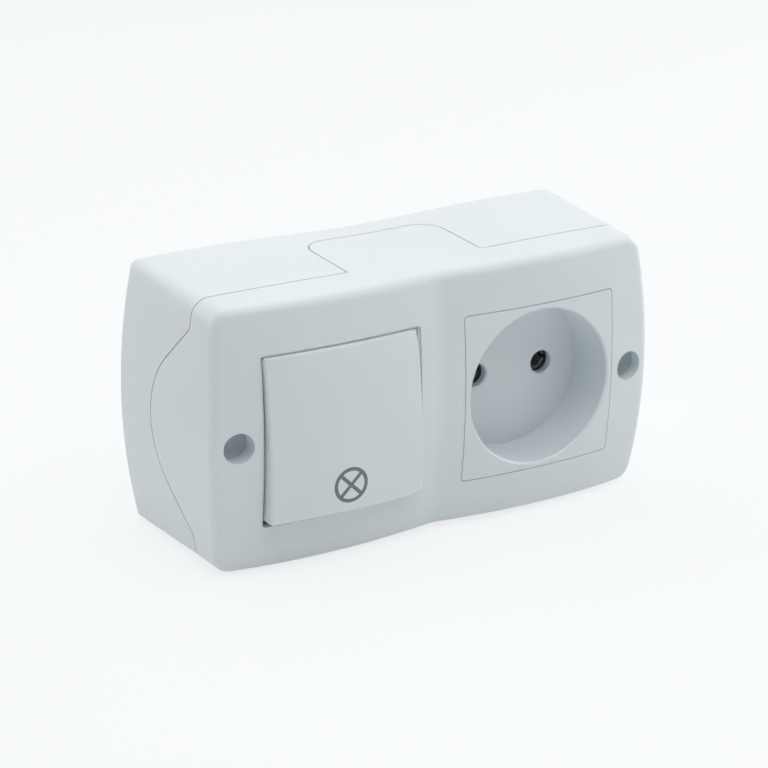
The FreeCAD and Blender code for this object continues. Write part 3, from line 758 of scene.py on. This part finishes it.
class OBJECT_OT_shape_housing(bpy.types.Operator):
    """Tightens the corners of the back box towards the wall"""

    bl_idname = "wall_accessory.shape_housing"
    bl_label = "Shape Housing"

    REAR_CENTRE = Vector((0.055084, 0.028476))
    FRONT_CENTRE = Vector((0.053746, 0.027550))
    FRONT_DEPTH = 0.05
    START = math.radians(11.69)
    END = math.radians(88.82)

    def execute(self, context):
        values = settings(context).housing

        def change(point):
            share = -point.y / self.FRONT_DEPTH
            centre = self.REAR_CENTRE.lerp(self.FRONT_CENTRE, share)
            away = Vector((abs(point.x), abs(point.z))) - centre
            turn = math.atan2(away.y, away.x)
            if not self.START < turn < self.END:
                return point
            grown = min(1.0, -point.y / values.corner_depth)
            sharp, full = values.rear_corner_radius, values.front_corner_radius
            away *= self.spread(turn, sharp + (full - sharp) * grown, full)
            x, z = centre + away
            return Vector((math.copysign(x, point.x), point.y, math.copysign(z, point.z)))

        reshaped("back_box_shell", "back_box", change, "housing")
        return {"FINISHED"}

    def spread(self, turn, radius, full):
        """How far a corner of one radius lies outside one of the full radius, as a share of it."""
        half = (self.END - self.START) / 2
        off = turn - self.START - half
        straight = math.atan((full - radius) * math.tan(half) / full)
        to_end = half - abs(off)
        if to_end < straight:
            return 1.0 / math.cos(to_end)
        reach = (full - radius) / math.cos(half)
        across = reach * math.sin(off)
        return (reach * math.cos(off) + math.sqrt(radius**2 - across**2)) / full


class OBJECT_OT_shape_holes(bpy.types.Operator):
    """Widens the rims of the pin holes"""

    bl_idname = "wall_accessory.shape_holes"
    bl_label = "Shape Holes"

    PIN_HOLES = (0.0175, 0.0365)
    RIM_REACH = 0.0031

    def execute(self, context):
        values = settings(context).housing

        def widened(point):
            for middle in self.PIN_HOLES:
                x, z = point.x - middle, point.z
                if math.hypot(x, z) < self.RIM_REACH:
                    size = values.pin_hole_size
                    return Vector((middle + x * size, point.y, z * size))
            return point

        reshaped("insert_face", "socket_insert", widened, "housing")
        return {"FINISHED"}


class OBJECT_OT_make_plugs(bpy.types.Operator):
    """Presses a cupped blind plug into each cover screw's well, in a grey darker than the housing
    that paints in the well's shade
    """

    bl_idname = "wall_accessory.make_plugs"
    bl_label = "Make Plugs"

    SEGMENTS = 48
    CUP_STEPS = (0.5, 0.3, 0.15, 0.05)
    RIM_EDGE = math.radians(60)

    def execute(self, context):
        values = settings(context).housing
        plastic = settings(context).plastic
        # The plugs' grey plastic is painted shade for the screw wells.
        finish = moulded_plastic(
            "grey_plug_plastic", values.plug_colour, plastic.housing_roughness, plastic
        )
        for side, name in ((-1, "well_plug_left"), (1, "well_plug_right")):
            form = bmesh.new()
            bmesh.ops.create_cone(
                form,
                cap_ends=True,
                segments=self.SEGMENTS,
                radius1=values.plug_radius,
                radius2=values.plug_radius,
                depth=values.plug_length,
            )
            front = [face for face in form.faces if face.normal.z > 0.9]
            for share in self.CUP_STEPS:
                depth = -share * values.plug_cup
                bmesh.ops.inset_region(form, faces=front, thickness=values.plug_rim, depth=depth)
            bmesh.ops.rotate(form, verts=form.verts, matrix=UPRIGHT)
            across, out = values.plug_place
            middle = (side * across, values.plug_length / 2 - out, 0.0)
            bmesh.ops.translate(form, verts=form.verts, vec=middle)
            shade_smooth(form, sharp_from=self.RIM_EDGE)
            new_piece(name, form, finish, "housing")
        return {"FINISHED"}


class OBJECT_OT_make_rocker_frame(bpy.types.Operator):
    """Fits the thin frame that shows in the gap round the rocker"""

    bl_idname = "wall_accessory.make_rocker_frame"
    bl_label = "Make Rocker Frame"

    HALF_GRID = 1.5
    CUTS = 9

    def execute(self, context):
        values = settings(context).opening
        form = bmesh.new()
        bmesh.ops.create_grid(form, x_segments=3, y_segments=3, size=self.HALF_GRID)
        columns = (-values.outer, -values.inner_side, values.inner_side, values.outer)
        rows = (-values.outer, -values.inner_bottom, values.inner_top, values.outer)
        middle = settings(context).rocker.pivot[0]
        for vert in form.verts:
            column, row = round(vert.co.x + self.HALF_GRID), round(vert.co.y + self.HALF_GRID)
            vert.co = (middle + columns[column], 0.0, rows[row])
        hole = [face for face in form.faces if not any(edge.is_boundary for edge in face.edges)]
        bmesh.ops.delete(form, geom=hole, context="FACES")
        long_edges = [edge for edge in form.edges if edge.calc_length() > values.inner_side]
        bmesh.ops.subdivide_edges(form, edges=long_edges, cuts=self.CUTS, use_grid_fill=True)
        for vert in form.verts:
            off = math.hypot(vert.co.x - middle, vert.co.z)
            sag = values.dome_radius - math.sqrt(values.dome_radius**2 - off**2)
            vert.co.y = sag - values.dome_apex + values.depth
        face_front(form)
        bmesh.ops.solidify(form, geom=form.faces, thickness=values.thickness)
        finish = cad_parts["front_cover"].data.materials[0]
        new_piece("rocker_frame", form, finish, "housing")
        return {"FINISHED"}


class OBJECT_OT_shape_rocker(bpy.types.Operator):
    """Lets the rocker's face stand as far out of its opening as the real one does"""

    bl_idname = "wall_accessory.shape_rocker"
    bl_label = "Shape Rocker"

    def execute(self, context):
        values = settings(context).rocker
        pivot = Vector(values.pivot)
        level = Matrix.Rotation(values.tilt, 3, "X")
        stretch = 1.0 + values.rise / (values.apex - values.skirt_back)

        def change(point):
            flat = level @ (point - pivot) + pivot
            flat.x = pivot.x + (flat.x - pivot.x) * values.width
            flat.y = -values.skirt_back + (flat.y + values.skirt_back) * stretch
            flat.z = flat.z * values.height - values.drop
            return level.inverted() @ (flat - pivot) + pivot

        reshaped("rocker_face", "rocker", change, "rocker_unit")
        return {"FINISHED"}


class OBJECT_OT_make_lamp_symbol(bpy.types.Operator):
    """Prints a ring with a cross in it, the plain symbol of a lamp, on the rocker"""

    bl_idname = "wall_accessory.make_lamp_symbol"
    bl_label = "Make Lamp Symbol"

    RING_SEGMENTS = 72
    BAR_SEGMENTS = 12
    RISING, FALLING = math.radians(45), math.radians(135)
    START_GAP = 0.01

    def execute(self, context):
        symbol = settings(context).symbol
        form = bmesh.new()
        ring = bmesh.ops.create_circle(
            form, segments=self.RING_SEGMENTS, radius=symbol.radius
        )["verts"]
        edges = list({edge for vert in ring for edge in vert.link_edges})
        inner = bmesh.ops.extrude_edge_only(form, edges=edges)["geom"]
        inner_verts = [item for item in inner if isinstance(item, bmesh.types.BMVert)]
        inner_radius = symbol.radius - symbol.stroke
        shrink = inner_radius / symbol.radius
        bmesh.ops.scale(form, vec=(shrink, shrink, 1.0), verts=inner_verts)
        middle_gap = symbol.stroke / 2
        spans = (
            (self.RISING, -inner_radius, inner_radius),
            (self.FALLING, middle_gap, inner_radius),
            (self.FALLING, -inner_radius, -middle_gap),
        )
        for turn, low, high in spans:
            self.add_bar(form, turn, low, high, symbol.stroke)
        self.lay_on_rocker(form, symbol)
        ink = printed_ink("grey_ink", symbol.colour)
        new_piece("lamp_symbol", form, ink, "rocker_unit")
        return {"FINISHED"}

    def add_bar(self, form, turn, low, high, stroke):
        """Adds a flat bar through the ring's middle, divided along its length."""
        place = (
            Matrix.Rotation(turn, 4, "Z")
            @ Matrix.Translation(((low + high) / 2, 0, 0))
            @ Matrix.Diagonal(((high - low) / 2, stroke / 2, 1, 1))
        )
        bmesh.ops.create_grid(
            form, x_segments=self.BAR_SEGMENTS, y_segments=2, size=1.0, matrix=place
        )

    def lay_on_rocker(self, form, symbol):
        """Stands the flat symbol up, drops it on the rocker's face and thickens it."""
        bmesh.ops.rotate(form, verts=form.verts, matrix=UPRIGHT)
        surface = BVHTree.FromObject(
            bpy.data.objects["rocker_face"], bpy.context.evaluated_depsgraph_get()
        )
        start_y = solid_box[0].y - self.START_GAP
        for vert in form.verts:
            start = Vector((symbol.place[0] + vert.co.x, start_y, symbol.place[1] + vert.co.z))
            hit, normal = surface.ray_cast(start, Vector((0, 1, 0)))[:2]
            if hit is None:
                raise RuntimeError("The symbol reaches past the rocker.")
            vert.co = hit + normal * symbol.ink_thickness
        face_front(form)
        bmesh.ops.solidify(form, geom=form.faces, thickness=symbol.ink_thickness)


class OBJECT_OT_make_coil_spring(bpy.types.Operator):
    """Winds the round-wire spring behind the plunger"""

    bl_idname = "wall_accessory.make_coil_spring"
    bl_label = "Make Coil Spring"

    WIRE_SEGMENTS = 10
    STEPS_PER_TURN = 24

    def execute(self, context):
        spring = settings(context).spring
        tilt = settings(context).rocker.tilt
        low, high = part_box("plunger_spring")
        wire = spring.wire_radius
        lean = Matrix.Rotation(-tilt, 4, "X")
        middle = (Vector(low) + Vector(high)) / 2
        coil_radius = (high[0] - low[0]) / 2 - wire
        length = (high[1] - low[1]) - 2 * wire - 2 * coil_radius * math.sin(tilt)
        form = bmesh.new()
        place = Matrix.Translation((coil_radius, -length / 2, 0))
        section = bmesh.ops.create_circle(
            form, cap_ends=True, segments=self.WIRE_SEGMENTS, radius=wire, matrix=place
        )["verts"]
        steps = round(spring.turns * self.STEPS_PER_TURN)
        faces = list({face for vert in section for face in vert.link_faces})
        bmesh.ops.spin(
            form,
            geom=faces,
            axis=(0, 1, 0),
            cent=(0, 0, 0),
            dvec=(0, length / steps, 0),
            angle=2 * math.pi * spring.turns,
            steps=steps,
            use_duplicate=False,
        )
        bmesh.ops.transform(form, matrix=Matrix.Translation(middle) @ lean, verts=form.verts)
        bmesh.ops.recalc_face_normals(form, faces=form.faces)
        for face in form.faces:
            face.smooth = len(face.verts) == 4
        colour = settings(context).metals.spring
        finish = metal("spring_wire", colour, roughness=0.3, wear_scale=600.0)
        piece = new_piece("coil_spring", form, finish, "sprung_plunger")
        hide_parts("plunger_spring")
        return {"FINISHED"}


class OBJECT_OT_make_studio(bpy.types.Operator):
    """Sets the floor, the lamps and the camera"""

    bl_idname = "wall_accessory.make_studio"
    bl_label = "Make Studio"

    FLOOR_REACH = 4.0
    FLOOR_GLOW = 0.82
    LAMP_DISTANCE = 1.0
    LAMPS = (
        ("overhead_front_softbox", "overhead_front", (0, 65), 0.8),
        ("overhead_back_softbox", "overhead_back", (180, 65), 0.8),
        ("left_softbox", "from_left", (-118, 25), 0.7),
        ("right_softbox", "from_right", (90, 20), 0.7),
        ("front_softbox", "from_front", (60, 25), 0.7),
    )

    def execute(self, context):
        studio = settings(context).studio
        self.make_floor(context, studio)
        self.light_surround(context, studio)
        for name, power, direction, size in self.LAMPS:
            self.add_lamp(context, name, getattr(studio, power), direction, size)
        self.place_camera(context, studio)
        context.scene.view_settings.view_transform = "Standard"
        return {"FINISHED"}

    def make_floor(self, context, studio):
        """A wide pale floor under the housing that keeps a soft shadow."""
        form = bmesh.new()
        place = Matrix.Translation((0, 0, solid_box[0].z))
        bmesh.ops.create_grid(
            form, x_segments=1, y_segments=1, size=self.FLOOR_REACH, matrix=place
        )
        mesh = bpy.data.meshes.new("floor")
        form.to_mesh(mesh)
        form.free()
        floor = bpy.data.objects.new("floor", mesh)
        context.scene.collection.objects.link(floor)
        material, tree, shader = new_material("pale_floor")
        shader.inputs["Base Color"].default_value = (*studio.floor_colour, 1.0)
        shader.inputs["Roughness"].default_value = 0.9
        glow = tree.nodes.new("ShaderNodeEmission")
        glow.inputs["Color"].default_value = (*studio.floor_colour, 1.0)
        seen = self.seen_directly(tree)
        share = tree.nodes.new("ShaderNodeMath")
        share.operation = "MULTIPLY"
        share.inputs[1].default_value = self.FLOOR_GLOW
        tree.links.new(seen, share.inputs[0])
        mix = tree.nodes.new("ShaderNodeMixShader")
        tree.links.new(share.outputs[0], mix.inputs["Fac"])
        tree.links.new(shader.outputs[0], mix.inputs[1])
        tree.links.new(glow.outputs[0], mix.inputs[2])
        tree.links.new(mix.outputs[0], tree.nodes["Material Output"].inputs["Surface"])
        mesh.materials.append(material)

    def seen_directly(self, tree):
        """1 for rays of the camera, of gloss and through glass, 0 for light on the object."""
        path = tree.nodes.new("ShaderNodeLightPath")
        total = path.outputs["Is Camera Ray"]
        for kind in ("Is Glossy Ray", "Is Transmission Ray"):
            add = tree.nodes.new("ShaderNodeMath")
            add.operation = "MAXIMUM"
            tree.links.new(total, add.inputs[0])
            tree.links.new(path.outputs[kind], add.inputs[1])
            total = add.outputs[0]
        return total

    def light_surround(self, context, studio):
        """Even light from all round, and a pale distance for what is seen directly."""
        world = bpy.data.worlds.new("surround")
        context.scene.world = world
        world.use_nodes = True
        tree = world.node_tree
        lit = tree.nodes["Background"]
        lit.inputs["Color"].default_value = (0.97, 0.99, 1.0, 1.0)
        lit.inputs["Strength"].default_value = studio.surround
        distance = tree.nodes.new("ShaderNodeBackground")
        distance.inputs["Color"].default_value = (*studio.floor_colour, 1.0)
        mix = tree.nodes.new("ShaderNodeMixShader")
        tree.links.new(self.seen_directly(tree), mix.inputs["Fac"])
        tree.links.new(lit.outputs[0], mix.inputs[1])
        tree.links.new(distance.outputs[0], mix.inputs[2])
        tree.links.new(mix.outputs[0], tree.nodes["World Output"].inputs["Surface"])

    def add_lamp(self, context, name, power, direction, size):
        """A square softbox that faces the object, placed by azimuth and elevation in degrees."""
        away = away_from(*[math.radians(angle) for angle in direction])
        light = bpy.data.lights.new(name, "AREA")
        light.energy = power
        light.size = size
        lamp = bpy.data.objects.new(name, light)
        lamp.location = away * self.LAMP_DISTANCE
        lamp.rotation_euler = away.to_track_quat("Z", "Y").to_euler()
        lamp.visible_camera = False
        context.scene.collection.objects.link(lamp)

    def place_camera(self, context, studio):
        """Stands the camera where the object is seen from the front, the left and above."""
        away = away_from(studio.azimuth, studio.elevation)
        right = Vector((0, 0, 1)).cross(away).normalized()
        up = away.cross(right)
        cosine, sine = math.cos(studio.roll), math.sin(studio.roll)
        across = right * cosine + up * sine
        upward = up * cosine - right * sine
        turn = Matrix((across, upward, away)).transposed().to_4x4()
        camera = bpy.data.cameras.new("camera")
        camera.lens = studio.lens
        camera.sensor_width = 36.0
        camera.clip_start = 0.01
        stand = bpy.data.objects.new("camera", camera)
        stand.matrix_world = Matrix.Translation(Vector(studio.aim) + away * studio.distance) @ turn
        context.scene.collection.objects.link(stand)
        context.scene.camera = stand


class WallAccessorySettings(bpy.types.PropertyGroup):
    """All the settings together."""

    plastic: PointerProperty(type=PlasticSettings)
    metals: PointerProperty(type=MetalSettings)
    housing: PointerProperty(type=HousingSettings)
    opening: PointerProperty(type=OpeningSettings)
    rocker: PointerProperty(type=RockerSettings)
    symbol: PointerProperty(type=SymbolSettings)
    spring: PointerProperty(type=SpringSettings)
    studio: PointerProperty(type=StudioSettings)


class VIEW3D_PT_wall_accessory(bpy.types.Panel):
    """Lists the steps and their settings"""

    bl_idname = "VIEW3D_PT_wall_accessory"
    bl_label = "Wall Accessory"
    bl_space_type = "VIEW_3D"
    bl_region_type = "UI"
    bl_category = "Wall Accessory"

    def draw(self, context):
        for operator in OPERATORS:
            self.layout.operator(operator.bl_idname)
        for group in WallAccessorySettings.__annotations__:
            values = getattr(settings(context), group)
            box = self.layout.box()
            for name in values.__annotations__:
                box.prop(values, name)


OPERATORS = (
    OBJECT_OT_finish_housing,
    OBJECT_OT_finish_inserts,
    OBJECT_OT_finish_works,
    OBJECT_OT_shape_housing,
    OBJECT_OT_shape_holes,
    OBJECT_OT_make_plugs,
    OBJECT_OT_shape_rocker,
    OBJECT_OT_make_rocker_frame,
    OBJECT_OT_make_lamp_symbol,
    OBJECT_OT_make_coil_spring,
    OBJECT_OT_make_studio,
)
CLASSES = (
    PlasticSettings,
    MetalSettings,
    HousingSettings,
    OpeningSettings,
    RockerSettings,
    SymbolSettings,
    SpringSettings,
    StudioSettings,
    WallAccessorySettings,
    *OPERATORS,
    VIEW3D_PT_wall_accessory,
)


def register():
    """Adds the settings, the steps and the panel."""
    for item in CLASSES:
        bpy.utils.register_class(item)
    bpy.types.Scene.wall_accessory = PointerProperty(type=WallAccessorySettings)


def unregister():
    """Removes what register added."""
    del bpy.types.Scene.wall_accessory
    for item in reversed(CLASSES):
        bpy.utils.unregister_class(item)


def main():
    """Runs the steps in order."""
    register()
    bpy.ops.wall_accessory.finish_housing()
    bpy.ops.wall_accessory.finish_inserts()
    bpy.ops.wall_accessory.finish_works()
    bpy.ops.wall_accessory.shape_housing()
    bpy.ops.wall_accessory.shape_holes()
    bpy.ops.wall_accessory.make_plugs()
    bpy.ops.wall_accessory.shape_rocker()
    bpy.ops.wall_accessory.make_rocker_frame()
    bpy.ops.wall_accessory.make_lamp_symbol()
    bpy.ops.wall_accessory.make_coil_spring()
    bpy.ops.wall_accessory.make_studio()


if __name__ == "__main__":
    main()
